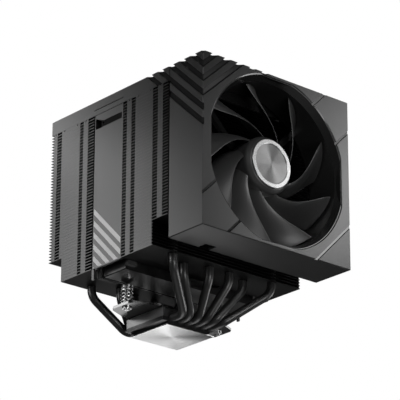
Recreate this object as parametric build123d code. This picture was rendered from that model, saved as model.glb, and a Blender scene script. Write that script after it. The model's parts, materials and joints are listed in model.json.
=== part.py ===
from build123d import *
import math
import os

# Dual-tower processor cooler with a cased front fan and a middle fan.
# Millimetres. Origin at the centre of the cold plate's contact face, +Z up,
# front fan towards -Y, +X to the right seen from the front.

# ---------------------------------------------------------------- driving dimensions
WIDTH = 133.6  # across casing, fins and cover
HEIGHT = 160.0  # contact face to the top of the cover
FLOOR = 35.6  # underside of the casing and of the lowest fin
FRONT = -108.6  # front face of the casing
CASING_DEPTH = 34.6
OPENING_R = 61.5  # air inlet, cut flat where it meets the casing's edges
OPENING_FLAT_X = 58.8
OPENING_FLAT_Z = 59.5
FRONT_PLATE = 6.0  # casing's front wall, ahead of the fan frame
CASING_WALL = 1.8

RIDGE_SLOPE = 0.92  # rise of the chevron ridges along either face
RIDGE_PITCH = 10.4
RIDGE_WIDTH = 5.1
RIDGE_TOP = 121.5  # top of the highest ridge above the casing's floor
RIDGE_DEPTH = 1.3
GROOVES_ALL = 6  # on the left face and the top
GROOVES_FRONT = 4  # of them, those that turn onto the front face

FIN_PITCH = 2.185
FIN_THICK = 0.5
FIN_COUNT = 52
SHORT_FINS = 8  # lowest fins, cut back to clear memory modules
FRONT_TOWER = (-73.2, -24.9)
REAR_TOWER = (7.1, 55.1)
FRONT_SHORT = (-57.7, -24.9)
REAR_SHORT = (7.1, 40.7)
FRONT_TABS = ((-67.3, -62.1), (-56.8, -38.3), (-34.0, -29.2))
REAR_TABS = ((13.8, 18.9), (22.9, 43.5), (48.7, 52.4))
REAR_SHORT_TABS = ((13.8, 18.9), (22.9, 40.7))
TAB_THICK = 0.6
TAB_GAP = 0.12  # between a tab and the fin above it
NOTCH_WIDTH = 1.8  # three-cornered notches in the top fin's tabs
NOTCH_HEIGHT = 1.5
NOTCH_INSET = 3.0

HOOK_X = (61.2, 63.8)  # steel hooks that hold the casing in the fin gaps
HOOK_Y = (-80.0, -69.0)
HOOK_LIFT = 0.3
HOOK_THICK = 1.2

PIPE_R = 3.0
PIPE_FIT = 0.05  # radial room for the pipe in a fin
PIPE_X = (44.5, 26.6, 8.85)
PIPE_BASE_PITCH = 6.7
PIPE_FRONT_Y = (-52.6, -42.8, -48.6)
TOWER_MIDDLE_Y = -9.0  # the two towers mirror each other about this plane
PIPE_TOP = 150.5
PIPE_KNEE_Z = 28.6
PIPE_BASE_Z = 5.5
PIPE_FRONT_KNEE_Y = -31.6
PIPE_REAR_KNEE_Y = (28.5, 31.0, 28.6)
PIPE_TOP_BEND = 11.0
PIPE_FRONT_BEND = 8.5
PIPE_REAR_BEND = 6.5

BLOCK_X = 24.8
BLOCK_Y = 19.6
BOSS_X = 20.8
BOSS_THICK = 2.5
BLOCK_TOP = 12.3

BAR_THICK = 2.0
BAR_CORNER = 2.0
BAR_HALF = 46.2
BAR_END_Y = 10.0
BAR_WAIST_X = 26.5
BAR_WAIST_Y = 18.6
SCREW_X = 40.8
SHANK_R = 2.0
SCREW_TIP = 10.4  # sprung up, ready to be pressed onto its standoff
SPRING_R = 3.9
SPRING_WIRE_R = 0.55
SPRING_TOP = 26.1
SPRING_TURNS = 4.0

COVER_SKIRT = 149.2
COVER_FRONT = -73.8
COVER_WALL = 1.8
COVER_POSTS = ((35.5, -30.0), (35.5, 14.0))

PANEL_THICK = 2.2
PANEL_Y = (-24.8, 7.1)
PANEL_Z = (35.1, 148.8)
POCKET_LIP = 138.1  # lower edge of the finger pocket in the panel
POCKET_TOP = 142.8
POCKET_DEPTH = 4.2
POCKET_BACK = 4.9
LUG_X = (-66.4, -65.2)
LUG_Y = (4.6, 6.9)
LUG_LOW = 27.9
RAIL_Z = (48.0, 132.0)
RAIL_LIP_X = -56.5
STRIPE_DEPTH = 0.7
STRIPE_PITCH = 8.48
STRIPE_HEIGHT = 4.2
STRIPE_SLOPE = 0.99
STRIPE_TOP = 45.6  # above the casing's floor, at the panel's rear edge
STRIPE_COUNT = 8

FAN_HALF = 60.0
FAN_THICK = 25.0
FAN_BORE_R = 58.4
FAN_BODY = 22.6  # solid sides, then a slot ahead of the rear flange
FAN_SLOT = 1.4
FAN_NECK_HALF = 58.9
FAN_HOLE = 52.5
FAN_HOLE_R = 2.15
FRONT_FAN = (FRONT + FRONT_PLATE, 97.8)  # front plane's y and axis z
MIDDLE_FAN = (-21.5, 90.1)
HUB_R = 20.5
HUB_FACE_R = 17.2
HUB_SHOULDER = 4.0
HUB_DEPTH = 19.5
HUB_CAVITY_R = 18.9
DISC_R = 14.2
TIP_R = 57.2
BLADES = 9
MOTOR_SHAFT_R = 1.5
SHAFT_PLAY = 0.03

HALF = WIDTH / 2
CASING_BACK = FRONT + CASING_DEPTH
BAR_TOP = BLOCK_TOP + BAR_THICK
REAR_END = REAR_TOWER[1]

os.makedirs("parts", exist_ok=True)


# ---------------------------------------------------------------- helpers
def box(x0, x1, y0, y1, z0, z1):
    """Box between two corners."""
    middle = Pos((x0 + x1) / 2, (y0 + y1) / 2, (z0 + z1) / 2)
    return middle * Box(abs(x1 - x0), abs(y1 - y0), abs(z1 - z0))


def rod_y(x, z, y0, y1, radius):
    """Cylinder along Y."""
    return Pos(x, (y0 + y1) / 2, z) * Rot(90, 0, 0) * Cylinder(radius, abs(y1 - y0))


def rod_z(x, y, z0, z1, radius):
    """Cylinder along Z."""
    return Pos(x, y, (z0 + z1) / 2) * Cylinder(radius, abs(z1 - z0))


def cone_y(z, y0, y1, r0, r1):
    """Cone along Y, radius r0 at y0 and r1 at y1."""
    return Pos(0, (y0 + y1) / 2, z) * Rot(-90, 0, 0) * Cone(r0, r1, y1 - y0)


def ring_y(z, y0, y1, outer, inner):
    """Tube about the axis x = 0, along Y."""
    return rod_y(0, z, y0, y1, outer) - rod_y(0, z, y0 - 1, y1 + 1, inner)


def mirror_x(shape):
    """The same piece on the other side of the cooler."""
    return mirror(shape, about=Plane.YZ)


def group(shapes):
    """Separate solids kept in one node."""
    solids = []
    for shape in shapes:
        solids.extend(shape.solids())
    return Compound(solids)


def save(name, shape):
    export_step(shape, f"parts/{name}.step")


# ---------------------------------------------------------------- chevron grooves
def ridge_slab(index):
    """Slanted slab between two ridges, rising along both faces from the left front edge."""
    low = RIDGE_TOP - RIDGE_PITCH * index
    high = low + RIDGE_PITCH - RIDGE_WIDTH
    normal = Vector(-RIDGE_SLOPE, -RIDGE_SLOPE, 1)
    thick = (high - low) / normal.length
    place = Plane(origin=(-HALF, FRONT, FLOOR + (low + high) / 2), z_dir=normal)
    return place * Box(500, 500, thick)


def ridge_skin(block, front_too):
    """Thin outer layer of a block on its left side, its top and maybe its front."""
    bounds = block.bounding_box()
    core_front = bounds.min.Y - 1
    if front_too:
        core_front = bounds.min.Y + RIDGE_DEPTH
    core = box(
        -HALF + RIDGE_DEPTH,
        HALF + 1,
        core_front,
        bounds.max.Y + 1,
        bounds.min.Z - 1,
        HEIGHT - RIDGE_DEPTH,
    )
    return block - core


def cut_ridges(shape, block, front_face):
    """Cuts the chevron grooves into a piece whose outer form is block."""
    side_skin = ridge_skin(block, False)
    full_skin = ridge_skin(block, True)
    for index in range(GROOVES_ALL):
        skin = side_skin
        if front_face and index < GROOVES_FRONT:
            skin = full_skin
        shape = shape - (ridge_slab(index) & skin)
    return shape


# ---------------------------------------------------------------- front casing
def face_line(x0, z0, x1, z1, width=2.0, depth=1.0):
    """Straight groove cutter on the front face between two points."""
    length = math.hypot(x1 - x0, z1 - z0)
    angle = math.degrees(math.atan2(z1 - z0, x1 - x0))
    place = Pos((x0 + x1) / 2, FRONT, (z0 + z1) / 2) * Rot(0, -angle, 0)
    return place * Box(length, 2 * depth, width)


def hook_heights():
    """Floors of the fin gaps that the casing's hooks reach into."""
    return [FLOOR + FIN_PITCH * fin + FIN_THICK for fin in (10, 46)]


def make_casing():
    block = box(-HALF, HALF, FRONT, CASING_BACK, FLOOR, HEIGHT)
    casing = chamfer(block.edges(), 0.5)
    axis_z = FRONT_FAN[1]
    plate_back = FRONT + FRONT_PLATE
    room = FAN_HALF + 0.4
    casing -= box(-room, room, plate_back, CASING_BACK + 1, axis_z - room, axis_z + room)
    flats = box(-OPENING_FLAT_X, OPENING_FLAT_X, FRONT - 1, plate_back + 1,
                axis_z - OPENING_FLAT_Z, axis_z + OPENING_FLAT_Z)
    casing -= cone_y(axis_z, FRONT, plate_back, OPENING_R, FAN_BORE_R) & flats
    lip = 0.7
    lip_flats = box(-OPENING_FLAT_X - lip, OPENING_FLAT_X + lip, FRONT - 1, plate_back,
                    axis_z - OPENING_FLAT_Z - lip, axis_z + OPENING_FLAT_Z + lip)
    casing -= cone_y(axis_z, FRONT - lip, FRONT + lip, OPENING_R + 2 * lip, OPENING_R) & lip_flats
    casing = cut_ridges(casing, block, True)
    # Lines across the corners of the front face.
    run = 13.0
    reach = 22.2
    casing -= face_line(-HALF - 1, FLOOR + reach - 1, -HALF + run, FLOOR + reach + run)
    casing -= face_line(-HALF + reach - 1, FLOOR - 1, -HALF + reach + run, FLOOR + run)
    casing -= face_line(HALF + 1, HEIGHT - reach + 1, HALF - run, HEIGHT - reach - run)
    casing -= face_line(HALF - reach + 1, HEIGHT + 1, HALF - reach - run, HEIGHT - run)
    corner = 32.0
    casing -= face_line(HALF + 1, FLOOR + corner + 1, HALF - corner - 1, FLOOR - 1)
    # Notch for the fan's lead, in the floor at the back.
    casing -= box(-40.8, -31.3, -82.3, CASING_BACK + 1, FLOOR - 1, FLOOR + CASING_WALL + 1)
    # Pilot holes for the fan bolts, slots for the hooks.
    for side in (-1, 1):
        for level in (-1, 1):
            casing -= rod_y(side * FAN_HOLE, axis_z + level * FAN_HOLE, plate_back - 3.6,
                            plate_back + 1, 1.5)
    for z in hook_heights():
        for side in (-1, 1):
            casing -= box(side * HOOK_X[0], side * HOOK_X[1], HOOK_Y[0], CASING_BACK + 1,
                          z + HOOK_LIFT, z + HOOK_LIFT + HOOK_THICK)
    return casing


def make_hooks():
    hooks = []
    for z in hook_heights():
        hook = box(*HOOK_X, *HOOK_Y, z + HOOK_LIFT, z + HOOK_LIFT + HOOK_THICK)
        hook = chamfer(hook.edges().filter_by(Axis.Z).sort_by(Axis.Y)[-2:], 0.8)
        hooks.append(hook)
        hooks.append(mirror_x(hook))
    return group(hooks)


# ---------------------------------------------------------------- fins
def make_fin(span, tabs, holes):
    """One fin at z = 0 with its folded side tabs reaching up to the next fin."""
    fin = box(-HALF, HALF, span[0], span[1], 0, FIN_THICK)
    for x, y in holes:
        fin -= rod_z(x, y, -1, 1, PIPE_R + PIPE_FIT)
    for start, end in tabs:
        for side in (-1, 1):
            inner = side * (HALF - TAB_THICK)
            fin += box(inner, side * HALF, start, end, 0, FIN_PITCH - TAB_GAP)
    return fin


def notch_places(tabs):
    """Middle of each narrow tab, and both ends of each wide one."""
    places = []
    for start, end in tabs:
        if end - start < 2 * NOTCH_INSET:
            places.append((start + end) / 2)
        else:
            places.extend([start + NOTCH_INSET, end - NOTCH_INSET])
    return places


def notch_tabs(fin, tabs):
    """Cuts the notches into the top fin's tabs, just under the cover's skirt."""
    half = NOTCH_WIDTH / 2
    for y in notch_places(tabs):
        outline = Polyline((y - half, COVER_SKIRT), (y + half, COVER_SKIRT),
                           (y, COVER_SKIRT - NOTCH_HEIGHT), close=True)
        fin -= extrude(Plane.YZ.offset(-HALF - 1) * make_face(outline), amount=WIDTH + 2)
    return fin


def fin_stack(fin, first, last):
    """Equal fins, from one level up to but not including another."""
    return [Pos(0, 0, FLOOR + FIN_PITCH * index) * fin for index in range(first, last)]


def full_stack(fin, tabs):
    fins = fin_stack(fin, SHORT_FINS, FIN_COUNT)
    return group(fins[:-1] + [notch_tabs(fins[-1], tabs)])


# ---------------------------------------------------------------- heat pipes
def pipe_ends():
    """Tower, base and rear knee positions of each pipe, left to right."""
    rows = []
    for side in (-1, 1):
        order = range(3) if side < 0 else range(2, -1, -1)
        for rank in order:
            x = side * PIPE_X[rank]
            base_x = side * PIPE_BASE_PITCH * (2.5 - rank)
            front_y = PIPE_FRONT_Y[rank]
            rear_y = 2 * TOWER_MIDDLE_Y - front_y
            rows.append((x, base_x, front_y, rear_y, PIPE_REAR_KNEE_Y[rank]))
    return rows


def make_pipe(x, base_x, front_y, rear_y, rear_knee_y):
    path = FilletPolyline(
        (x, front_y, PIPE_TOP),
        (x, front_y, PIPE_KNEE_Z),
        (base_x, PIPE_FRONT_KNEE_Y, PIPE_BASE_Z),
        (base_x, rear_knee_y, PIPE_BASE_Z),
        (x, rear_y, PIPE_KNEE_Z),
        (x, rear_y, PIPE_TOP),
        radius=[PIPE_TOP_BEND, PIPE_FRONT_BEND, PIPE_REAR_BEND, PIPE_TOP_BEND],
    )
    start = Plane(origin=path @ 0, z_dir=path % 0)
    pipe = sweep(start * Circle(PIPE_R), path=path)
    for y in (front_y, rear_y):
        pipe += Pos(x, y, PIPE_TOP + 1.2) * Cone(PIPE_R, 1.0, 2.4)
    return pipe


# ---------------------------------------------------------------- base
def pipe_grooves():
    """The six pipes' straight stretch through the base."""
    bores = rod_y(-2.5 * PIPE_BASE_PITCH, PIPE_BASE_Z, -BLOCK_Y - 1, BLOCK_Y + 1, PIPE_R)
    for index in range(1, 6):
        x = (index - 2.5) * PIPE_BASE_PITCH
        bores += rod_y(x, PIPE_BASE_Z, -BLOCK_Y - 1, BLOCK_Y + 1, PIPE_R)
    return bores


def block_screw_places():
    return [(sx * 22.3, sy * 15.5) for sx in (-1, 1) for sy in (-1, 1)]


def make_base_plate():
    boss = box(-BOSS_X, BOSS_X, -BLOCK_Y, BLOCK_Y, 0, BOSS_THICK)
    flange = box(-BLOCK_X, BLOCK_X, -BLOCK_Y, BLOCK_Y, BOSS_THICK, PIPE_BASE_Z)
    plate = boss + flange - pipe_grooves()
    for x, y in block_screw_places():
        plate -= rod_z(x, y, BOSS_THICK + 0.6, PIPE_BASE_Z + 1, 1.0)
    return plate


def make_block():
    block = box(-BLOCK_X, BLOCK_X, -BLOCK_Y, BLOCK_Y, PIPE_BASE_Z, BLOCK_TOP)
    block = chamfer(block.edges().group_by(Axis.Z)[-1], 0.4)
    block -= pipe_grooves()
    for x, y in block_screw_places():
        block -= rod_z(x, y, PIPE_BASE_Z - 1, BLOCK_TOP + 1, 1.0)
        block -= rod_z(x, y, BLOCK_TOP - 1.6, BLOCK_TOP + 1, 1.9)
    for x in (-12.0, 12.0):
        block -= rod_z(x, 0, BLOCK_TOP - 3.4, BLOCK_TOP + 1, 1.5)
    return block


def make_block_screws():
    screws = []
    for x, y in block_screw_places():
        screw = rod_z(x, y, BOSS_THICK + 0.6, BLOCK_TOP - 1.6, 1.0)
        screw += rod_z(x, y, BLOCK_TOP - 1.6, BLOCK_TOP - 0.1, 1.9)
        screws.append(screw)
    return group(screws)


def make_bar():
    outline = Polyline(
        (-BAR_HALF, -BAR_END_Y),
        (-BAR_WAIST_X, -BAR_WAIST_Y),
        (BAR_WAIST_X, -BAR_WAIST_Y),
        (BAR_HALF, -BAR_END_Y),
        (BAR_HALF, BAR_END_Y),
        (BAR_WAIST_X, BAR_WAIST_Y),
        (-BAR_WAIST_X, BAR_WAIST_Y),
        (-BAR_HALF, BAR_END_Y),
        close=True,
    )
    bar = extrude(Pos(0, 0, BLOCK_TOP) * make_face(outline), amount=BAR_THICK)
    upright = bar.edges().filter_by(Axis.Z)
    bar = chamfer([edge for edge in upright if abs(edge.center().X) > BAR_HALF - 1], BAR_CORNER)
    bar = chamfer(bar.edges().group_by(Axis.Z)[-1], 0.3)
    for x in (-SCREW_X, SCREW_X):
        bar -= rod_z(x, 0, BLOCK_TOP - 1, BAR_TOP + 1, SHANK_R + 0.1)
    for x in (-12.0, 12.0):
        bar -= rod_z(x, 0, BLOCK_TOP - 1, BAR_TOP + 1, 1.6)
    return bar


def make_bar_screws():
    screws = []
    for x in (-12.0, 12.0):
        screw = rod_z(x, 0, BLOCK_TOP - 3.4, BAR_TOP, 1.5)
        screw += Pos(x, 0, BAR_TOP + 0.9) * Cone(3.0, 2.2, 1.8)
        screw -= box(x - 1.8, x + 1.8, -0.4, 0.4, BAR_TOP + 1.0, BAR_TOP + 2)
        screw -= box(x - 0.4, x + 0.4, -1.8, 1.8, BAR_TOP + 1.0, BAR_TOP + 2)
        screws.append(screw)
    return group(screws)


# ---------------------------------------------------------------- spring screws
WASHER_TOP = BAR_TOP + 0.6
CLIP_TOP = BLOCK_TOP - 0.05
CLIP_THICK = 0.9


def make_screw_head(x):
    head = rod_z(x, 0, SPRING_TOP, SPRING_TOP + 2.0, 4.4)
    head = chamfer(head.edges(), 0.3)
    head -= box(x - 2.6, x + 2.6, -0.5, 0.5, SPRING_TOP + 1.0, SPRING_TOP + 3)
    head -= box(x - 0.5, x + 0.5, -2.6, 2.6, SPRING_TOP + 1.0, SPRING_TOP + 3)
    return head


def make_screw_shank(x):
    """Shank from under the head, with a neck for the clip and a tip that stands in it."""
    shank = rod_z(x, 0, SCREW_TIP, SPRING_TOP, SHANK_R)
    shank = chamfer(shank.edges().group_by(Axis.Z)[0], 0.3)
    return shank - (rod_z(x, 0, CLIP_TOP - CLIP_THICK - 0.1, CLIP_TOP, 5) - rod_z(x, 0, 0, HEIGHT, 1.6))


def make_spring(x):
    free = SPRING_TOP - WASHER_TOP - 2 * SPRING_WIRE_R
    path = Helix(pitch=free / SPRING_TURNS, height=free, radius=SPRING_R)
    start = Plane(origin=path @ 0, z_dir=path % 0)
    coil = sweep(start * Circle(SPRING_WIRE_R), path=path, is_frenet=True)
    return Pos(x, 0, WASHER_TOP + SPRING_WIRE_R) * coil


def make_washer(x):
    return rod_z(x, 0, BAR_TOP, WASHER_TOP, 4.6) - rod_z(x, 0, 0, HEIGHT, SHANK_R + 0.15)


def make_clip(x):
    """Open ring in the screw's neck, right under the bar."""
    clip = rod_z(x, 0, CLIP_TOP - CLIP_THICK, CLIP_TOP - 0.1, 3.3)
    clip -= rod_z(x, 0, 0, HEIGHT, 1.63)
    return clip - box(x - 1.2, x + 1.2, 0, 5, 0, HEIGHT)


# ---------------------------------------------------------------- cover and side panels
def make_cover():
    block = box(-HALF, HALF, COVER_FRONT, REAR_END, COVER_SKIRT, HEIGHT)
    cover = chamfer(block.edges().group_by(Axis.Z)[-1], 0.5)
    wall = COVER_WALL
    cover -= box(-HALF + wall, HALF - wall, COVER_FRONT + wall, REAR_END - wall,
                 COVER_SKIRT - 1, HEIGHT - wall - 0.2)
    cover = cut_ridges(cover, block, False)
    # Fine line along both sides between the towers.
    for side in (-1, 1):
        cover -= box(side * (HALF - 0.5), side * (HALF + 1), PANEL_Y[0], PANEL_Y[1], 152.8, 153.4)
    for x, y in COVER_POSTS:
        for side in (-1, 1):
            cover += rod_z(side * x, y, COVER_SKIRT + 0.1, HEIGHT - wall, 4.6)
            cover -= rod_z(side * x, y, COVER_SKIRT, COVER_SKIRT + 2.2, 3.0)
    return cover


def post_discs(z0, z1, radius):
    return group([rod_z(s * x, y, z0, z1, radius) for x, y in COVER_POSTS for s in (-1, 1)])


def stripe_slab(index):
    low = FLOOR + STRIPE_TOP - STRIPE_HEIGHT - STRIPE_PITCH * index
    normal = Vector(0, -STRIPE_SLOPE, 1)
    place = Plane(origin=(0, PANEL_Y[1], low + STRIPE_HEIGHT / 2), z_dir=normal)
    return place * Box(400, 400, STRIPE_HEIGHT / normal.length)


def make_pocket():
    """Finger pocket in the left panel: a ramp behind its lip, open through at the rear."""
    y0 = PANEL_Y[0] + 1.4
    y1 = PANEL_Y[1] - 1.9
    ramp = Polyline(
        (-HALF - 1, POCKET_LIP),
        (-HALF + POCKET_DEPTH, POCKET_LIP),
        (-HALF + POCKET_DEPTH - 1.2, POCKET_LIP + 1.6),
        (-HALF, POCKET_TOP),
        (-HALF - 1, POCKET_TOP),
        close=True,
    )
    pocket = extrude(Plane.XZ.offset(-y1) * make_face(ramp), amount=y1 - y0)
    corner = Polyline((y1, POCKET_LIP), (y1, POCKET_TOP + 3.4), (y1 - 9.7, POCKET_TOP - 0.3), close=True)
    return pocket + extrude(Plane.YZ.offset(-HALF - 1) * make_face(corner), amount=POCKET_BACK + 2)


def make_panel():
    """Left side panel and its inlaid stripes."""
    y0, y1 = PANEL_Y
    z0, z1 = PANEL_Z
    panel = box(-HALF, -HALF + PANEL_THICK, y0, y1, z0, z1)
    outer = panel.edges().group_by(Axis.X)[0]
    panel = chamfer(outer.sort_by(Axis.Y)[-1], 1.2)
    panel += box(-HALF + 1, -HALF + POCKET_BACK, y0 + 0.2, y1 - 0.2, POCKET_LIP - 1.6, z1)
    panel -= make_pocket()
    panel += box(*LUG_X, *LUG_Y, LUG_LOW, z0 + 1)
    margin = 0.8
    skin = box(-HALF, -HALF + STRIPE_DEPTH, y0 + margin, y1 - 2.0, z0 + margin, POCKET_LIP)
    stripes = []
    for index in range(STRIPE_COUNT):
        stripe = stripe_slab(index) & skin
        if stripe and stripe.solids():
            stripes.append(stripe)
            panel -= stripe
    return panel, group(stripes)


def make_rail():
    """Left C-shaped rail that the middle fan slides down in."""
    inner = -HALF + PANEL_THICK
    fan_front = MIDDLE_FAN[0]
    fan_back = fan_front + FAN_THICK
    rail = box(inner, -FAN_HALF - 0.2, fan_front + 1.5, fan_back - 1.5, *RAIL_Z)
    for y0 in (fan_front - 2.2, fan_back + 0.2):
        rail += box(inner, RAIL_LIP_X, y0, y0 + 2.0, *RAIL_Z)
    return rail + box(inner, inner + 2, fan_front - 1, fan_back + 1, *RAIL_Z)


# ---------------------------------------------------------------- fans
def make_frame(front, axis_z):
    back = front + FAN_THICK
    square = box(-FAN_HALF, FAN_HALF, front, back, axis_z - FAN_HALF, axis_z + FAN_HALF)
    square = chamfer(square.edges().filter_by(Axis.Y), 0.6)
    slot_front = front + FAN_BODY
    slot = box(-80, 80, slot_front, slot_front + FAN_SLOT, axis_z - 80, axis_z + 80)
    slot -= box(-FAN_NECK_HALF, FAN_NECK_HALF, front, back, axis_z - FAN_NECK_HALF, axis_z + FAN_NECK_HALF)
    frame = square - slot
    for sx in (-1, 1):
        for sz in (-1, 1):
            frame -= rod_y(sx * FAN_HOLE, axis_z + sz * FAN_HOLE, front - 1, back + 1, FAN_HOLE_R)
    frame -= rod_y(0, axis_z, front - 1, back + 1, FAN_BORE_R)
    # Motor seat on four struts, with the bearing tube.
    frame += rod_y(0, axis_z, back - 3, back, 21.0)
    struts = box(-FAN_BORE_R - 0.6, FAN_BORE_R + 0.6, back - 3.4, back, axis_z - 2, axis_z + 2)
    struts += box(-2, 2, back - 3.4, back, axis_z - FAN_BORE_R - 0.6, axis_z + FAN_BORE_R + 0.6)
    frame += Pos(0, 0, axis_z) * Rot(0, 45, 0) * Pos(0, 0, -axis_z) * struts
    frame += rod_y(0, axis_z, back - 17, back - 3, 5.0)
    frame -= rod_y(0, axis_z, back - 18, back - 1.5, 3.6)
    return frame


def blade_section(radius, front, axis_z):
    """Blade's cross-section on a plane square to the radius."""
    share = min(1.0, max(0.0, (radius - 20.0) / 35.0))
    lead = math.radians(38 - 14 * share)
    trail = math.radians(66 - 24 * share)
    chord = 17 + 13 * share
    thick = 1.7 - 0.4 * share
    tip_share = max(0.0, (radius - 20.0) / 35.0)
    nose_angle = math.radians(88.9 + 63 * tip_share ** 0.6)
    nose_y = front + 6.2 - 4.2 * share
    mean = (lead + trail) / 2
    end = (chord * math.cos(mean), chord * math.sin(mean))
    quarter = (3 * lead + trail) / 4
    half = (chord / 2 * math.cos(quarter), chord / 2 * math.sin(quarter))
    across = end[0]
    centre_angle = nose_angle - math.atan2(across / 2, radius)
    outward = Vector(math.cos(centre_angle), 0, math.sin(centre_angle))
    sideways = Vector(-math.sin(centre_angle), 0, math.cos(centre_angle))
    plane = Plane(origin=Vector(0, 0, axis_z) + outward * radius, x_dir=sideways, z_dir=outward)

    def spot(point, heading, offset):
        along = across / 2 - (point[0] - offset * math.sin(heading))
        depth = nose_y + point[1] + offset * math.cos(heading)
        return (along, -depth)

    nose = 0.35 * thick
    tail = 0.3 * thick
    upper = ThreePointArc(spot((0, 0), lead, -nose), spot(half, mean, -thick / 2),
                          spot(end, trail, -tail))
    lower = ThreePointArc(spot((0, 0), lead, nose), spot(half, mean, thick / 2),
                          spot(end, trail, tail))
    edges = [upper, Line(upper @ 1, lower @ 1), lower, Line(lower @ 0, upper @ 0)]
    return plane * make_face(edges)


def make_impeller(front, axis_z):
    face = front + 1.0
    hub = cone_y(axis_z, face, front + HUB_SHOULDER, HUB_FACE_R + 0.6, HUB_R)
    hub += rod_y(0, axis_z, front + HUB_SHOULDER, front + HUB_DEPTH, HUB_R)
    hub -= rod_y(0, axis_z, front + 5.0, front + HUB_DEPTH + 1, HUB_CAVITY_R)
    hub += rod_y(0, axis_z, front + 4.5, front + 7.0, 4.0)
    sections = [blade_section(r, front, axis_z) for r in (19.3, 24.0, 31.0, 40.0, 50.0, 60.0)]
    blade = loft(sections)
    blade &= rod_y(0, axis_z, front, front + FAN_THICK, TIP_R)
    spin = Axis((0, 0, axis_z), (0, 1, 0))
    for index in range(BLADES):
        hub += blade.rotate(spin, 360 / BLADES * index)
    hub -= rod_y(0, axis_z, front + 3.0, front + HUB_DEPTH, MOTOR_SHAFT_R)
    return hub


def make_stator(front, axis_z):
    y0 = front + 9.0
    y1 = front + 17.0
    core = ring_y(axis_z, y0, y1, 16.4, 14.0) + ring_y(axis_z, y0, y1, 8.0, 5.05)
    for angle in (0, 90, 180, 270):
        arm = box(6.5, 15.0, y0, y1, -2.5, 2.5)
        core += Pos(0, 0, axis_z) * Rot(0, angle, 0) * arm
    for angle in (45, 135):
        core -= Pos(0, 0, axis_z) * Rot(0, angle, 0) * box(-18, 18, y0 - 1, y1 + 1, -1.5, 1.5) \
            - rod_y(0, axis_z, y0 - 2, y1 + 2, 10.0)
    coils = []
    for angle in (0, 90, 180, 270):
        coil = box(8.6, 12.9, y0 - 0.8, y1 + 0.8, -4.6, 4.6)
        coil -= box(8.0, 14.0, y0, y1, -2.5, 2.5)
        coils.append(Pos(0, 0, axis_z) * Rot(0, angle, 0) * coil)
    return core, group(coils)


def save_fan(prefix, front, axis_z):
    """Frame, motor and impeller of one fan, each in its own node."""
    back = front + FAN_THICK
    save(f"{prefix}_fan_frame", make_frame(front, axis_z))
    save(f"{prefix}_impeller", make_impeller(front, axis_z))
    save(f"{prefix}_hub_disc", rod_y(0, axis_z, front + 0.4, front + 1.0, DISC_R))
    ring = ring_y(axis_z, front, front + 1.0, HUB_FACE_R, DISC_R)
    save(f"{prefix}_hub_ring", chamfer(ring.edges().group_by(Axis.Y)[0], 0.25))
    save(f"{prefix}_motor_shaft", rod_y(0, axis_z, front + 3.0, back - 3.5, MOTOR_SHAFT_R))
    save(f"{prefix}_bearing", ring_y(axis_z, back - 16.5, back - 3.2, 3.6, MOTOR_SHAFT_R + SHAFT_PLAY))
    save(f"{prefix}_magnet_ring", ring_y(axis_z, front + 5.5, front + 18.5, HUB_CAVITY_R, 17.4))
    core, coils = make_stator(front, axis_z)
    save(f"{prefix}_stator_core", core)
    save(f"{prefix}_windings", coils)
    save(f"{prefix}_circuit_board", ring_y(axis_z, back - 5.4, back - 4.2, 17.0, 5.05))


def make_front_bolts():
    front, axis_z = FRONT_FAN
    back = front + FAN_THICK
    bolts = []
    for sx in (-1, 1):
        for sz in (-1, 1):
            x = sx * FAN_HOLE
            z = axis_z + sz * FAN_HOLE
            bolt = rod_y(x, z, front - 3.6, back, 1.5) + rod_y(x, z, back, back + 2.2, 3.0)
            bolts.append(bolt - box(x - 1.8, x + 1.8, back + 1.2, back + 3, z - 0.4, z + 0.4))
    return group(bolts)


def make_pads(axis_z, depth, across, height):
    """Rubber pads at the four corners of a fan frame, in height from its middle."""
    pads = []
    for sx in (-1, 1):
        for sz in (-1, 1):
            low, high = (axis_z + sz * reach for reach in height)
            pad = box(sx * across[0], sx * across[1], *depth, low, high)
            pads.append(chamfer(pad.edges().filter_by(Axis.Y), 0.5))
    return pads


# ---------------------------------------------------------------- write every node
save("front_casing", make_casing())
save("casing_hooks", make_hooks())
save("front_fan_bolts", make_front_bolts())
save_fan("front", *FRONT_FAN)
save_fan("middle", *MIDDLE_FAN)

front_rear = FRONT_FAN[0] + FAN_THICK
middle_rear = MIDDLE_FAN[0] + FAN_THICK
front_side = make_pads(FRONT_FAN[1], (front_rear, front_rear + 3.2), (56.4, 59.8), (43.0, 58.0))
save("front_fan_pads", group(front_side))
front_side = make_pads(MIDDLE_FAN[1], (MIDDLE_FAN[0] - 3.2, MIDDLE_FAN[0]), (52.3, 60.0), (43.0, 57.6))
rear_side = make_pads(MIDDLE_FAN[1], (middle_rear, middle_rear + 3.4), (44.8, 61.8), (46.0, 60.5))
save("middle_fan_pads", group(front_side + rear_side))

front_holes = [(ends[0], ends[2]) for ends in pipe_ends()]
rear_holes = [(ends[0], ends[3]) for ends in pipe_ends()]
full_front = make_fin(FRONT_TOWER, FRONT_TABS, front_holes)
short_front = make_fin(FRONT_SHORT, FRONT_TABS[1:], front_holes)
full_rear = make_fin(REAR_TOWER, REAR_TABS, rear_holes)
short_rear = make_fin(REAR_SHORT, REAR_SHORT_TABS, rear_holes)
save("front_fins", full_stack(full_front, FRONT_TABS))
save("front_lower_fins", group(fin_stack(short_front, 0, SHORT_FINS)))
save("rear_fins", full_stack(full_rear, REAR_TABS))
save("rear_lower_fins", group(fin_stack(short_rear, 0, SHORT_FINS)))

for number, ends in enumerate(pipe_ends(), start=1):
    save(f"heat_pipe_{number}", make_pipe(*ends))

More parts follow.
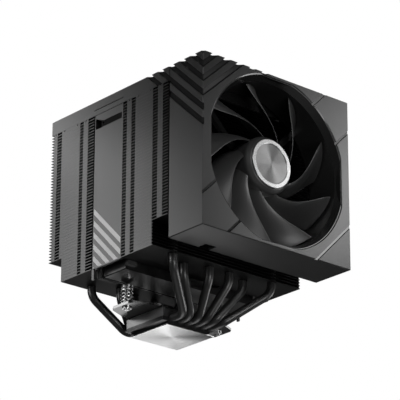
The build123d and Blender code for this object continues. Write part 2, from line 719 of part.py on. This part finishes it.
save("base_plate", make_base_plate())
save("fixing_block", make_block())
save("block_screws", make_block_screws())
save("mounting_bar", make_bar())
save("bar_screws", make_bar_screws())
for name, x in (("left", -SCREW_X), ("right", SCREW_X)):
    save(f"{name}_screw_head", make_screw_head(x))
    save(f"{name}_screw_shank", make_screw_shank(x))
    save(f"{name}_spring", make_spring(x))
    save(f"{name}_washer", make_washer(x))
    save(f"{name}_retaining_clip", make_clip(x))

FIN_TOP = FLOOR + FIN_PITCH * (FIN_COUNT - 1) + FIN_THICK
save("top_cover", make_cover())
save("cover_magnets", post_discs(COVER_SKIRT + 0.2, COVER_SKIRT + 2.2, 3.0))
save("magnet_keepers", post_discs(FIN_TOP, COVER_SKIRT, 4.0))

left_panel, left_stripes = make_panel()
save("left_side_panel", left_panel)
save("right_side_panel", mirror_x(left_panel))
save("left_panel_stripes", left_stripes)
save("right_panel_stripes", group([mirror_x(left_stripes)]))
left_rail = make_rail()
save("left_fan_rail", left_rail)
save("right_fan_rail", mirror_x(left_rail))
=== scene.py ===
import json
import math

import bmesh
import bpy
from mathutils import Matrix, Vector


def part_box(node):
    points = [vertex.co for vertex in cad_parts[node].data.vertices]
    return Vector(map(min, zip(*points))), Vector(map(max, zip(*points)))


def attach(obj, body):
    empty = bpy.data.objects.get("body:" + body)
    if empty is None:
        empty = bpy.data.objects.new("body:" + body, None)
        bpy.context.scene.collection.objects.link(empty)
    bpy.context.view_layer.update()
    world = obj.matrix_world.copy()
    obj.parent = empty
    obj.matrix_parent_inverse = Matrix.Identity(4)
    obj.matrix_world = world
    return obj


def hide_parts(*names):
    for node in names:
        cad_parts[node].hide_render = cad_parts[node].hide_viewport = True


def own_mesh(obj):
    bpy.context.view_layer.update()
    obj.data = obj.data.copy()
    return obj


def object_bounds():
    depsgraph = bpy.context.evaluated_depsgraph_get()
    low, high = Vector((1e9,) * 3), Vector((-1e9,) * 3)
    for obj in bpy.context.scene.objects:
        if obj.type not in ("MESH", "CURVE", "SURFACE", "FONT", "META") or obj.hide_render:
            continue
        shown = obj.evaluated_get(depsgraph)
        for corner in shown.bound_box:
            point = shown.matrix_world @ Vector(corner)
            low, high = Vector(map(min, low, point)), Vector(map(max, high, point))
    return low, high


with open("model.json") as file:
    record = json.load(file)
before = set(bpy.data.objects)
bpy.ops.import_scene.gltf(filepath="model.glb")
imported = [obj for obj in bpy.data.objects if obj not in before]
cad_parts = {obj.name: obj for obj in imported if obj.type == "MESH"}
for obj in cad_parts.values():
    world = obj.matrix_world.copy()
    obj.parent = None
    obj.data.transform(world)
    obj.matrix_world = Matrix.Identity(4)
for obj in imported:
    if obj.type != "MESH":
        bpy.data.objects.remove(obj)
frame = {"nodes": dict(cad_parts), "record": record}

CAD_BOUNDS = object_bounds()
NODES = frame["nodes"]
SLOT_OF = {part["node"]: part["material_slot"] for part in frame["record"]["subparts"]}
MM = 0.001


# ---------------------------------------------------------------- material helpers
def new_material(name):
    """Empty node material with its Principled shader."""
    material = bpy.data.materials.new(name)
    material.use_nodes = True
    tree = material.node_tree
    shader = tree.nodes["Principled BSDF"]
    return material, tree, shader


def link(tree, source, target):
    tree.links.new(source, target)


def noise(tree, scale, detail=3.0, roughness=0.5, stretch=None):
    """Noise in object space, scale in repeats per metre."""
    place = tree.nodes.new("ShaderNodeTexCoord")
    texture = tree.nodes.new("ShaderNodeTexNoise")
    texture.inputs["Scale"].default_value = scale
    texture.inputs["Detail"].default_value = detail
    texture.inputs["Roughness"].default_value = roughness
    if stretch:
        mapping = tree.nodes.new("ShaderNodeMapping")
        mapping.inputs["Scale"].default_value = stretch
        link(tree, place.outputs["Object"], mapping.inputs["Vector"])
        link(tree, mapping.outputs["Vector"], texture.inputs["Vector"])
    else:
        link(tree, place.outputs["Object"], texture.inputs["Vector"])
    return texture


NOISE_LOW = 0.3  # most noise values lie between these two
NOISE_HIGH = 0.7


def remap(tree, source, low, high):
    """Spreads a noise value over a range."""
    ramp = tree.nodes.new("ShaderNodeMapRange")
    ramp.inputs["From Min"].default_value = NOISE_LOW
    ramp.inputs["From Max"].default_value = NOISE_HIGH
    ramp.inputs["To Min"].default_value = low
    ramp.inputs["To Max"].default_value = high
    link(tree, source, ramp.inputs["Value"])
    return ramp.outputs["Result"]


def tint(tree, source, dark, light):
    """Blends two colours by a value."""
    mix = tree.nodes.new("ShaderNodeMix")
    mix.data_type = "RGBA"
    mix.inputs["A"].default_value = (*dark, 1)
    mix.inputs["B"].default_value = (*light, 1)
    link(tree, source, mix.inputs["Factor"])
    return mix.outputs["Result"]


def bump(tree, shader, source, strength, distance):
    node = tree.nodes.new("ShaderNodeBump")
    node.inputs["Strength"].default_value = strength
    node.inputs["Distance"].default_value = distance
    link(tree, source, node.inputs["Height"])
    link(tree, node.outputs["Normal"], shader.inputs["Normal"])


def grey(value):
    return (value, value, value)


# Noise scales are in repeats per metre.
COATING_DRIFT = 60
COATING_MOTTLE = 1400
COATING_GRAIN_STRENGTH = 0.15
SPUN_DRIFT = 90
SPUN_MOTTLE = 2200
SPUN_SPREAD = 0.03
ACROSS_RINGS = 0.25  # a quarter turn from the rings' own direction
METAL_DRIFT = 120
METAL_DARKEST = 0.92
METAL_MARK_STRENGTH = 0.3
SOLID_SPOTS = 500
SOLID_SPREAD = 0.05
SOLID_SPOT_STRENGTH = 0.2
SOLID_SPOT_DEPTH = 0.00002


def coated(name, base, spread, rough, grain, grain_depth, metallic=0.0):
    """Black coating or moulding: slow colour drift, roughness mottling and a fine grain."""
    material, tree, shader = new_material(name)
    shader.inputs["Metallic"].default_value = metallic
    drift = noise(tree, COATING_DRIFT, 2)
    colour = tint(tree, drift.outputs["Fac"], grey(base), grey(base + spread))
    link(tree, colour, shader.inputs["Base Color"])
    mottle = noise(tree, COATING_MOTTLE, 2)
    link(tree, remap(tree, mottle.outputs["Fac"], rough - 0.012, rough + 0.015),
         shader.inputs["Roughness"])
    fine = noise(tree, grain, 2, 0.6)
    bump(tree, shader, fine.outputs["Fac"], COATING_GRAIN_STRENGTH, grain_depth)
    return material


def inset_mask(tree, low, high):
    """One where a point lies inside a box, in metres, and zero on its outside."""
    place = tree.nodes.new("ShaderNodeTexCoord")
    split = tree.nodes.new("ShaderNodeSeparateXYZ")
    link(tree, place.outputs["Object"], split.inputs["Vector"])
    mask = None
    for axis in range(3):
        for limit, test in ((low[axis], "GREATER_THAN"), (high[axis], "LESS_THAN")):
            if limit is None:
                continue
            compare = tree.nodes.new("ShaderNodeMath")
            compare.operation = test
            compare.inputs[1].default_value = limit
            link(tree, split.outputs[axis], compare.inputs[0])
            if mask is None:
                mask = compare.outputs["Value"]
                continue
            both = tree.nodes.new("ShaderNodeMath")
            both.operation = "MULTIPLY"
            link(tree, mask, both.inputs[0])
            link(tree, compare.outputs["Value"], both.inputs[1])
            mask = both.outputs["Value"]
    return mask


def blend_by(tree, mask, socket, inner):
    """Sends a socket its old value outside a mask and a fixed one inside it."""
    blend = tree.nodes.new("ShaderNodeMix")
    blend.data_type = "FLOAT" if isinstance(inner, float) else "RGBA"
    link(tree, mask, blend.inputs["Factor"])
    slots = [plug for plug in blend.inputs if plug.enabled and plug.name in ("A", "B")]
    if socket.is_linked:
        link(tree, socket.links[0].from_socket, slots[0])
    else:
        slots[0].default_value = socket.default_value
    slots[1].default_value = inner
    result = [plug for plug in blend.outputs if plug.enabled][0]
    link(tree, result, socket)


def finish_and_shade_inside(material, low, high, inner_rough, inner_shade_grey=None, inner_shade_metallic=None):
    """Gives a material other values inside a box: its own roughness in grooves and hollows, and
    painted shade in fin gaps and on the base plate's sides, as a darker grey and, in the gaps, a
    dark metal.
    """
    tree = material.node_tree
    shader = tree.nodes["Principled BSDF"]
    mask = inset_mask(tree, low, high)
    blend_by(tree, mask, shader.inputs["Roughness"], inner_rough)
    if inner_shade_grey is not None:
        # Painted shade: a darker grey inside the box, and a dark metal that drops the coating's
        # sheen there.
        blend_by(tree, mask, shader.inputs["Base Color"], (*grey(inner_shade_grey), 1.0))
    if inner_shade_metallic is not None:
        blend_by(tree, mask, shader.inputs["Metallic"], inner_shade_metallic)
    return material


def spun(name, colour, rough, anisotropic, axis):
    """Lathe-turned metal: fine mottling, and highlights that fan out from the centre."""
    material, tree, shader = new_material(name)
    shader.inputs["Metallic"].default_value = 1.0
    shader.inputs["Anisotropic"].default_value = anisotropic
    shader.inputs["Anisotropic Rotation"].default_value = ACROSS_RINGS
    drift = noise(tree, SPUN_DRIFT, 2)
    shade = tint(tree, drift.outputs["Fac"], grey(colour - SPUN_SPREAD), grey(colour + SPUN_SPREAD))
    link(tree, shade, shader.inputs["Base Color"])
    fine = noise(tree, SPUN_MOTTLE, 2)
    link(tree, remap(tree, fine.outputs["Fac"], rough - SPUN_SPREAD, rough + SPUN_SPREAD),
         shader.inputs["Roughness"])
    tangent = tree.nodes.new("ShaderNodeTangent")
    tangent.direction_type = "RADIAL"
    tangent.axis = axis
    link(tree, tangent.outputs["Tangent"], shader.inputs["Tangent"])
    return material


def metal(name, colour, rough, grain=1500, depth=0.00001, stretch=None):
    """Bare or plated metal with fine surface marks."""
    material, tree, shader = new_material(name)
    shader.inputs["Metallic"].default_value = 1.0
    drift = noise(tree, METAL_DRIFT, 2)
    low = tuple(METAL_DARKEST * c for c in colour)
    link(tree, tint(tree, drift.outputs["Fac"], low, colour), shader.inputs["Base Color"])
    marks = noise(tree, grain, 3, 0.6, stretch)
    link(tree, remap(tree, marks.outputs["Fac"], rough - 0.05, rough + 0.06),
         shader.inputs["Roughness"])
    bump(tree, shader, marks.outputs["Fac"], METAL_MARK_STRENGTH, depth)
    return material


def plain_solid(name, dark, light, rough):
    """Moulded or pressed matter in two close tones."""
    material, tree, shader = new_material(name)
    spots = noise(tree, SOLID_SPOTS, 3)
    link(tree, tint(tree, spots.outputs["Fac"], dark, light), shader.inputs["Base Color"])
    link(tree, remap(tree, spots.outputs["Fac"], rough - SOLID_SPREAD, rough + SOLID_SPREAD),
         shader.inputs["Roughness"])
    bump(tree, shader, spots.outputs["Fac"], SOLID_SPOT_STRENGTH, SOLID_SPOT_DEPTH)
    return material


def shell_finish(name):
    """Semi-gloss black of the casing, cover, panels and fins."""
    return coated(name, 0.007, 0.002, 0.29, 5200, 0.000004)


INSET = 0.4 * MM  # how far under a face its grooves take their own roughness and its fin gaps and the plate's sides their painted shade
GROOVE_ROUGH = 0.13
CASING_LOW, CASING_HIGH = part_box("front_casing")
LEFT_EDGE = CASING_LOW[0] + INSET
RIGHT_EDGE = CASING_HIGH[0] - INSET
REAR_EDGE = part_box("rear_fins")[1][1] - INSET

# Coatings: base grey, spread, roughness, grain per metre, grain depth in metres.
# Metals: colour, roughness, marks per metre, their depth in metres. Solids: dark, light, roughness.
MATERIALS = {
    "black_shell": shell_finish("black_shell"),
    # Fins: painted shade in the gaps inside their outer edges, as near-black metal with a rough
    # surface.
    "black_fin": finish_and_shade_inside(shell_finish("fin_finish_gap_shade"), (LEFT_EDGE, None, None),
                              (RIGHT_EDGE, REAR_EDGE, None),
                              inner_rough=0.55, inner_shade_grey=0.006, inner_shade_metallic=1.0),
    "black_pipe": coated("black_pipe", 0.008, 0.002, 0.37, 2400, 0.000002),
    "black_steel": coated("black_steel", 0.16, 0.03, 0.17, 1500, 0.000002, metallic=1.0),
    "light_stripe": plain_solid("light_stripe", grey(0.42), grey(0.47), 0.45),
    "nickel": metal("nickel", grey(0.72), 0.16, 3000, 0.000001),
    "block_metal": metal("block_metal", grey(0.22), 0.36, 2400, 0.000004),
    "spun_disc": spun("spun_disc", 0.16, 0.30, 0.95, "Y"),
    "steel": metal("steel", grey(0.62), 0.25),
    "rubber": plain_solid("rubber", grey(0.012), grey(0.02), 0.7),
    "bearing_bronze": metal("bearing_bronze", (0.45, 0.30, 0.16), 0.4),
    "magnet": plain_solid("magnet", grey(0.03), grey(0.05), 0.5),
    "copper_wire": metal("copper_wire", (0.60, 0.25, 0.12), 0.3, 900, 0.00004, (1, 8, 1)),
    "board": plain_solid("board", (0.01, 0.05, 0.02), (0.02, 0.08, 0.03), 0.4),
}
RING_FINISH = metal("ring_finish", grey(0.33), 0.28, 3000, 0.0000002)

# Nodes whose finish differs from the rest of their slot; the base plate's also paints shade on its
# sides.
NODE_FINISH_AND_SHADE = {
    "front_casing": finish_and_shade_inside(shell_finish("casing_finish"),
                                 (LEFT_EDGE, CASING_LOW[1] + INSET, CASING_LOW[2] + INSET),
                                 (RIGHT_EDGE, None, CASING_HIGH[2] - INSET), GROOVE_ROUGH),
    "top_cover": finish_and_shade_inside(shell_finish("cover_finish"), (LEFT_EDGE, None, None),
                              (RIGHT_EDGE, None, CASING_HIGH[2] - INSET), GROOVE_ROUGH),
    # Base plate: the milled face at the bottom keeps its metal; its sides above carry painted shade,
    # a dark grey.
    "base_plate": finish_and_shade_inside(spun("plate_face_side_shade", 0.66, 0.24, 0.95, "Z"), (None, None, INSET),
                               (None, None, None), inner_rough=0.40, inner_shade_grey=0.12),
    "front_hub_ring": RING_FINISH,
    "middle_hub_ring": RING_FINISH,
}


def dress(obj, material):
    obj.data.materials.clear()
    obj.data.materials.append(material)


for node_name, node in NODES.items():
    dress(node, NODE_FINISH_AND_SHADE.get(node_name, MATERIALS[SLOT_OF[node_name]]))


# ---------------------------------------------------------------- mesh helpers
def add_mesh(name, vertices, faces, body, material, crease_angle=35):
    """Closed mesh in millimetres that rides on a body."""
    mesh = bpy.data.meshes.new(name)
    mesh.from_pydata([Vector(v) * MM for v in vertices], [], faces)
    mesh.validate()
    obj = bpy.data.objects.new(name, mesh)
    bpy.context.scene.collection.objects.link(obj)
    clean_normals(mesh)
    mesh.polygons.foreach_set("use_smooth", [True] * len(mesh.polygons))
    mesh.set_sharp_from_angle(angle=math.radians(crease_angle))
    dress(obj, material)
    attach(obj, body)
    return obj


def clean_normals(mesh):
    """Joins doubled points and turns every face outwards."""
    work = bmesh.new()
    work.from_mesh(mesh)
    bmesh.ops.remove_doubles(work, verts=work.verts, dist=1e-7)
    bmesh.ops.recalc_face_normals(work, faces=work.faces)
    work.to_mesh(mesh)
    work.free()


def grid_faces(rows, columns):
    """Quads between consecutive closed rows of points."""
    faces = []
    for row in range(rows - 1):
        for column in range(columns):
            a = row * columns + column
            b = row * columns + (column + 1) % columns
            faces.append((a, b, b + columns, a + columns))
    return faces


def end_caps(rows, columns):
    """One face over the first row of points and one over the last."""
    return [tuple(range(columns)), tuple(range((rows - 1) * columns, rows * columns))]


def lathe_y(profile, axis_x, axis_z, steps=96):
    """Turns a closed (radius, y) outline about an axis along Y."""
    points = []
    for radius, y in profile:
        for step in range(steps):
            angle = 2 * math.pi * step / steps
            points.append((axis_x + radius * math.cos(angle), y, axis_z + radius * math.sin(angle)))
    faces = grid_faces(len(profile), steps)
    tail = (len(profile) - 1) * steps
    for step in range(steps):
        after = (step + 1) % steps
        faces.append((tail + step, tail + after, after, step))
    return points, faces


def soft_corner(before, corner, after, radius, steps=5):
    """Rounded corner of a flat outline, as a list of points."""
    b = Vector(before)
    c = Vector(corner)
    a = Vector(after)
    start = c + (b - c).normalized() * radius
    end = c + (a - c).normalized() * radius
    points = []
    for step in range(steps + 1):
        t = step / steps
        points.append(tuple(start * (1 - t) ** 2 + c * 2 * t * (1 - t) + end * t ** 2))
    return points


# ---------------------------------------------------------------- impellers
WHEEL_FINISH = coated("wheel_finish", 0.016, 0.004, 0.40, 4200, 0.000004)
BLADE_COUNT = 9
TIP_RADIUS = 57.2
ROOT_RADIUS = 19.7  # just inside the hub's wall
INNER_RADIUS = 20.0  # the blade's proportions run from here to its tip
BLADE_ROWS = 26
ROW_SPACING = 1.15  # above one, rows lie closer together near the hub
SECTION_STEPS = 18

SWEEP_RADIUS = 22.0  # the leading edge's angle in degrees starts here, anticlockwise from +X
SWEEP_SPAN = 33.0
SWEEP_START = 100.6
SWEEP_TURN = 82.0
SWEEP_EASE = 32.0

LEAD_PITCH = 40  # degrees from the fan's plane, at the root
TRAIL_PITCH = 70
PITCH_LOSS = 22  # from root to tip
PITCH_CURVE = 0.8
ROOT_CHORD = 17.5
CHORD_GAIN = 12.5
ROOT_THICK = 1.5
THICK_LOSS = 0.5
FILLET_THICK = 2.2  # extra at the hub, fading outwards
FILLET_FADE = 1.1
NOSE_DEPTH = 6.0  # leading edge behind the fan's front, at the root
NOSE_RISE = 3.6
NOSE_SHAPE = 0.7  # lower is blunter

HUB_RADIUS = 20.5
HUB_FACE = 1.0  # depths in the hub are from the fan's front
FACE_RADIUS = 17.0
BEVEL_RADIUS = 17.9
BEVEL_DEPTH = 4.4
HUB_BACK = 19.5
CUP_RADIUS = 18.9
CUP_FLOOR = 5.0
BOSS_RADIUS = 4.0
BOSS_BACK = 7.0
BORE_RADIUS = 1.5
BORE_FLOOR = 3.0
CENTRE_RADIUS = 0.02
HUB_ROUNDING = (0.5, 1.4, 0.3)  # at the face's edge, the bevel's end and the back


def leading_angle(radius):
    """Sickle sweep of the leading edge, in degrees anticlockwise seen from the front."""
    share = (radius - SWEEP_RADIUS) / SWEEP_SPAN
    return SWEEP_START + SWEEP_TURN * share - SWEEP_EASE * share * share


def blade_ring(radius, front):
    """Points round the blade's section at one radius, as (angle, y)."""
    share = min(1.0, max(0.0, (radius - INNER_RADIUS) / (TIP_RADIUS - INNER_RADIUS)))
    lead = math.radians(LEAD_PITCH - PITCH_LOSS * share)
    trail = math.radians(TRAIL_PITCH - PITCH_LOSS * share)
    chord = ROOT_CHORD + CHORD_GAIN * share
    fillet = FILLET_THICK * math.exp(-(radius - ROOT_RADIUS) / FILLET_FADE)
    thickness = ROOT_THICK - THICK_LOSS * share + fillet
    nose_y = front + NOSE_DEPTH - NOSE_RISE * share
    angle = math.radians(leading_angle(radius))
    mean = []
    along = 0.0
    deep = 0.0
    previous = 0.0
    for index in range(SECTION_STEPS + 1):
        place = 0.5 - 0.5 * math.cos(math.pi * index / SECTION_STEPS)
        middle = (previous + place) / 2
        heading = lead + (trail - lead) * middle ** PITCH_CURVE
        along += chord * (place - previous) * math.cos(heading)
        deep += chord * (place - previous) * math.sin(heading)
        previous = place
        mean.append((place, along, deep, heading))
    ring = []
    for side, line in ((1, mean), (-1, mean[-2:0:-1])):
        for place, along, deep, heading in line:
            half = 0.5 * thickness * math.sqrt(max(0.0, 4 * place * (1 - place))) ** NOSE_SHAPE
            across = along + side * half * math.sin(heading)
            ring.append((angle - across / radius, nose_y + deep - side * half * math.cos(heading)))
    return ring


def blade_mesh(front, axis_z, turn):
    """One swept, twisted blade."""
    points = []
    for row in range(BLADE_ROWS):
        share = (row / (BLADE_ROWS - 1)) ** ROW_SPACING
        radius = ROOT_RADIUS + (TIP_RADIUS - ROOT_RADIUS) * share
        for angle, y in blade_ring(radius, front):
            x = radius * math.cos(angle + turn)
            z = axis_z + radius * math.sin(angle + turn)
            points.append((x, y, z))
    columns = len(points) // BLADE_ROWS
    return points, grid_faces(BLADE_ROWS, columns) + end_caps(BLADE_ROWS, columns)


def hub_outline(front):
    """Hub cup's closed outline as (radius, y)."""
    face = front + HUB_FACE
    back = front + HUB_BACK
    floor = front + CUP_FLOOR
    corners = [(FACE_RADIUS, face), (BEVEL_RADIUS, face), (HUB_RADIUS, front + BEVEL_DEPTH),
               (HUB_RADIUS, back), (CUP_RADIUS, back)]
    outline = [(CENTRE_RADIUS, face), corners[0]]
    for index, rounding in enumerate(HUB_ROUNDING):
        outline += soft_corner(*corners[index:index + 3], rounding)
    outline += [(CUP_RADIUS, back), (CUP_RADIUS, floor), (BOSS_RADIUS, floor),
                (BOSS_RADIUS, front + BOSS_BACK), (BORE_RADIUS, front + BOSS_BACK),
                (BORE_RADIUS, front + BORE_FLOOR), (CENTRE_RADIUS, front + BORE_FLOOR)]
    return outline


def make_impeller(prefix, body):
    """Hub and blades in one mesh, in the place of the plain impeller."""
    low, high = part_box(prefix + "_impeller")
    front = low[1] / MM - HUB_FACE
    axis_z = (low[2] + high[2]) / 2 / MM
    points, faces = lathe_y(hub_outline(front), 0.0, axis_z)
    for index in range(BLADE_COUNT):
        more, quads = blade_mesh(front, axis_z, 2 * math.pi * index / BLADE_COUNT)
        base = len(points)
        points += more
        faces += [tuple(base + corner for corner in quad) for quad in quads]
    wheel = add_mesh(prefix + "_fan_wheel", points, faces, body, WHEEL_FINISH, crease_angle=50)
    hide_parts(prefix + "_impeller")


make_impeller("front", "front_rotor")
make_impeller("middle", "middle_rotor")


# ---------------------------------------------------------------- screw springs
SPRING_TURNS = 4.0
WIRE_RADIUS = 0.55
STEPS_PER_TURN = 40
WIRE_SIDES = 14


def coil_spring(side):
    """Wire coil in the plain spring's place, at that spring's length; the coil is fixed and doesn't
    shorten when its screw is pressed.
    """
    node = side + "_spring"
    low, high = [corner / MM for corner in map(Vector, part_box(node))]
    middle_x = (low.x + high.x) / 2
    middle_y = (low.y + high.y) / 2
    coil_radius = (high.x - low.x) / 2 - WIRE_RADIUS
    rise = high.z - low.z - 2 * WIRE_RADIUS
    count = int(SPRING_TURNS * STEPS_PER_TURN) + 1
    points = []
    for index in range(count):
        share = index / (count - 1)
        turn = 2 * math.pi * SPRING_TURNS * share
        outward = Vector((math.cos(turn), math.sin(turn), 0))
        along = Vector((-math.sin(turn), math.cos(turn), 0))
        along *= 2 * math.pi * SPRING_TURNS * coil_radius
        along.z = rise
        across = along.normalized().cross(outward)
        centre = Vector((middle_x, middle_y, low.z + WIRE_RADIUS + rise * share))
        centre += outward * coil_radius
        for corner in range(WIRE_SIDES):
            angle = 2 * math.pi * corner / WIRE_SIDES
            rim = outward * math.cos(angle) + across * math.sin(angle)
            points.append(centre + rim * WIRE_RADIUS)
    faces = grid_faces(count, WIRE_SIDES) + end_caps(count, WIRE_SIDES)
    spring = add_mesh(side + "_coil_spring", points, faces, "cooler", MATERIALS[SLOT_OF[node]])
    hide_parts(node)
    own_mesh(spring)


coil_spring("left")
coil_spring("right")


# ---------------------------------------------------------------- camera
CAMERA_AZIMUTH = -40.76  # zero looks along +Y
CAMERA_ELEVATION = -21.597  # below the cooler, looking up
CAMERA_ROLL = 0.218
CAMERA_DISTANCE = 1.6935
CAMERA_TARGET = Vector((-4.485, -33.697, 90.648)) * MM
LENS = 220.36
SENSOR_WIDTH = 36.0
FARTHEST_SEEN = 200.0


def aim_camera():
    """Camera on a line through its target, at the photograph's viewing angle."""
    azimuth = math.radians(CAMERA_AZIMUTH)
    elevation = math.radians(CAMERA_ELEVATION)
    back = Vector((math.sin(azimuth) * math.cos(elevation), -math.cos(azimuth) * math.cos(elevation),
                   math.sin(elevation)))
    level = Vector((math.cos(azimuth), math.sin(azimuth), 0))
    right = Matrix.Rotation(math.radians(CAMERA_ROLL), 3, back) @ level
    up = back.cross(right)
    data = bpy.data.cameras.new("camera")
    data.lens = LENS
    data.sensor_width = SENSOR_WIDTH
    data.clip_end = FARTHEST_SEEN
    camera = bpy.data.objects.new("camera", data)
    axes = Matrix((right, up, back)).transposed().to_4x4()
    camera.matrix_world = Matrix.Translation(CAMERA_TARGET + back * CAMERA_DISTANCE) @ axes
    bpy.context.scene.collection.objects.link(camera)
    bpy.context.scene.camera = camera


aim_camera()


# ---------------------------------------------------------------- lights
MIDDLE = (Vector(CAD_BOUNDS[0]) + Vector(CAD_BOUNDS[1])) / 2


def softbox(name, place, heading, size, watts):
    """Rectangular light at a place; heading points from the cooler to the light."""
    data = bpy.data.lights.new(name, "AREA")
    data.shape = "RECTANGLE"
    data.size = size[0]
    data.size_y = size[1]
    data.energy = watts
    light = bpy.data.objects.new(name, data)
    light.location = place
    light.rotation_euler = heading.to_track_quat("Z", "Y").to_euler()
    light.visible_camera = False
    bpy.context.scene.collection.objects.link(light)


def studio_light(name, direction, distance, size, watts):
    """Large soft light round the cooler's middle."""
    heading = Vector(direction).normalized()
    softbox(name, MIDDLE + heading * distance, heading, size, watts)


def graded_panel(name, boxes, face_point, heading, level, distance, box_side):
    """Soft boxes side by side that a flat face reflects as one gradient.

    Each box is (across, up, watts), moved along the level direction and square to it.
    """
    heading = Vector(heading).normalized()
    level = Vector(level)
    rise = level.cross(heading)
    if rise.z < 0:
        rise = -rise
    for number, (across, up, watts) in enumerate(boxes, start=1):
        place = face_point + heading * distance + level * across + rise * up
        softbox(f"{name}_{number}", place, heading, (box_side, box_side), watts)


FRONT_PANEL = [(-0.01, 0.05, 0.02), (0.06, -0.03, 0.18), (0.06, 0.05, 0.05), (0.13, 0.05, 0.15)]
LEFT_PANEL = [(-0.04, -0.08, 0.04), (0.04, -0.08, 0.12), (0.04, 0.0, 0.10), (0.12, 0.08, 0.13)]
UNDER_PANEL = [(0.0, -0.06, 0.02), (0.06, -0.06, 0.03), (0.06, 0.0, 0.02)]

graded_panel("front_panel", FRONT_PANEL, Vector((0.0, CAD_BOUNDS[0][1], MIDDLE.z)),
             heading=(0.61, -0.70, 0.37), level=(0.754, 0.657, 0.0), distance=0.40, box_side=0.09)
graded_panel("left_panel", LEFT_PANEL, Vector((CAD_BOUNDS[0][0], MIDDLE.y, MIDDLE.z)),
             heading=(-0.61, 0.70, 0.37), level=(0.754, 0.657, 0.0), distance=0.40, box_side=0.10)
graded_panel("under_panel", UNDER_PANEL, Vector((0.0, -0.02, 0.02)),
             heading=(0.61, 0.70, -0.37), level=(-0.754, 0.657, 0.0), distance=0.35, box_side=0.08)

FILL_SIZE = (0.30, 0.30)
SIDE_SIZE = (1.0, 0.6)
studio_light("low_fill", (0.35, 0.35, -1.0), 0.60, (0.35, 0.35), 0.82)
studio_light("front_fill", (-0.12, -0.90, -0.41), 0.75, FILL_SIZE, 2.18)
studio_light("high_fill", (-0.44, -0.84, 0.32), 0.75, FILL_SIZE, 2.68)
studio_light("left_fill", (-1.0, 0.2, 0.0), 0.75, FILL_SIZE, 2.40)
studio_light("right_fill", (0.9, -0.3, -0.3), 0.75, FILL_SIZE, 1.71)
studio_light("right_side_light", (0.95, 0.30, 0.50), 1.0, SIDE_SIZE, 4.0)
studio_light("back_light", (0.50, 0.95, 0.50), 1.0, SIDE_SIZE, 5.0)


# ---------------------------------------------------------------- background and floor
AMBIENT = 0.03
FLOOR_HEIGHT = -1.4  # under the camera, which looks up from below the cooler
FLOOR_HALF = 60.0
FLOOR_SEEN = 0.90


def mix_by_camera(tree, unseen, seen, output):
    """Sends the camera one shader and every other ray another."""
    path = tree.nodes.new("ShaderNodeLightPath")
    mix = tree.nodes.new("ShaderNodeMixShader")
    link(tree, path.outputs["Is Camera Ray"], mix.inputs["Fac"])
    link(tree, unseen, mix.inputs[1])
    link(tree, seen, mix.inputs[2])
    link(tree, mix.outputs["Shader"], output)


def white_world():
    """White behind the cooler, and a weaker even light on it."""
    world = bpy.data.worlds.new("studio")
    bpy.context.scene.world = world
    world.use_nodes = True
    tree = world.node_tree
    tree.nodes.clear()
    output = tree.nodes.new("ShaderNodeOutputWorld")
    shades = []
    for strength in (AMBIENT, 1.0):
        shade = tree.nodes.new("ShaderNodeBackground")
        shade.inputs["Color"].default_value = (1, 1, 1, 1)
        shade.inputs["Strength"].default_value = strength
        shades.append(shade.outputs["Background"])
    mix_by_camera(tree, *shades, output.inputs["Surface"])


def floor_paint():
    """Pale floor that looks evenly lit and doesn't throw that light back at the cooler."""
    material = plain_solid("floor_paint", grey(0.78), grey(0.80), 0.7)
    tree = material.node_tree
    glow = tree.nodes.new("ShaderNodeEmission")
    glow.inputs["Color"].default_value = (*grey(FLOOR_SEEN), 1)
    mix_by_camera(tree, tree.nodes["Principled BSDF"].outputs["BSDF"], glow.outputs["Emission"],
                  tree.nodes["Material Output"].inputs["Surface"])
    return material


def floor_sheet():
    mesh = bpy.data.meshes.new("floor")
    corners = [(x, y, FLOOR_HEIGHT) for x, y in
               ((-FLOOR_HALF, -FLOOR_HALF), (FLOOR_HALF, -FLOOR_HALF),
                (FLOOR_HALF, FLOOR_HALF), (-FLOOR_HALF, FLOOR_HALF))]
    mesh.from_pydata(corners, [], [(0, 1, 2, 3)])
    floor = bpy.data.objects.new("floor", mesh)
    bpy.context.scene.collection.objects.link(floor)
    dress(floor, floor_paint())


white_world()
floor_sheet()
bpy.context.scene.view_settings.view_transform = "Standard"
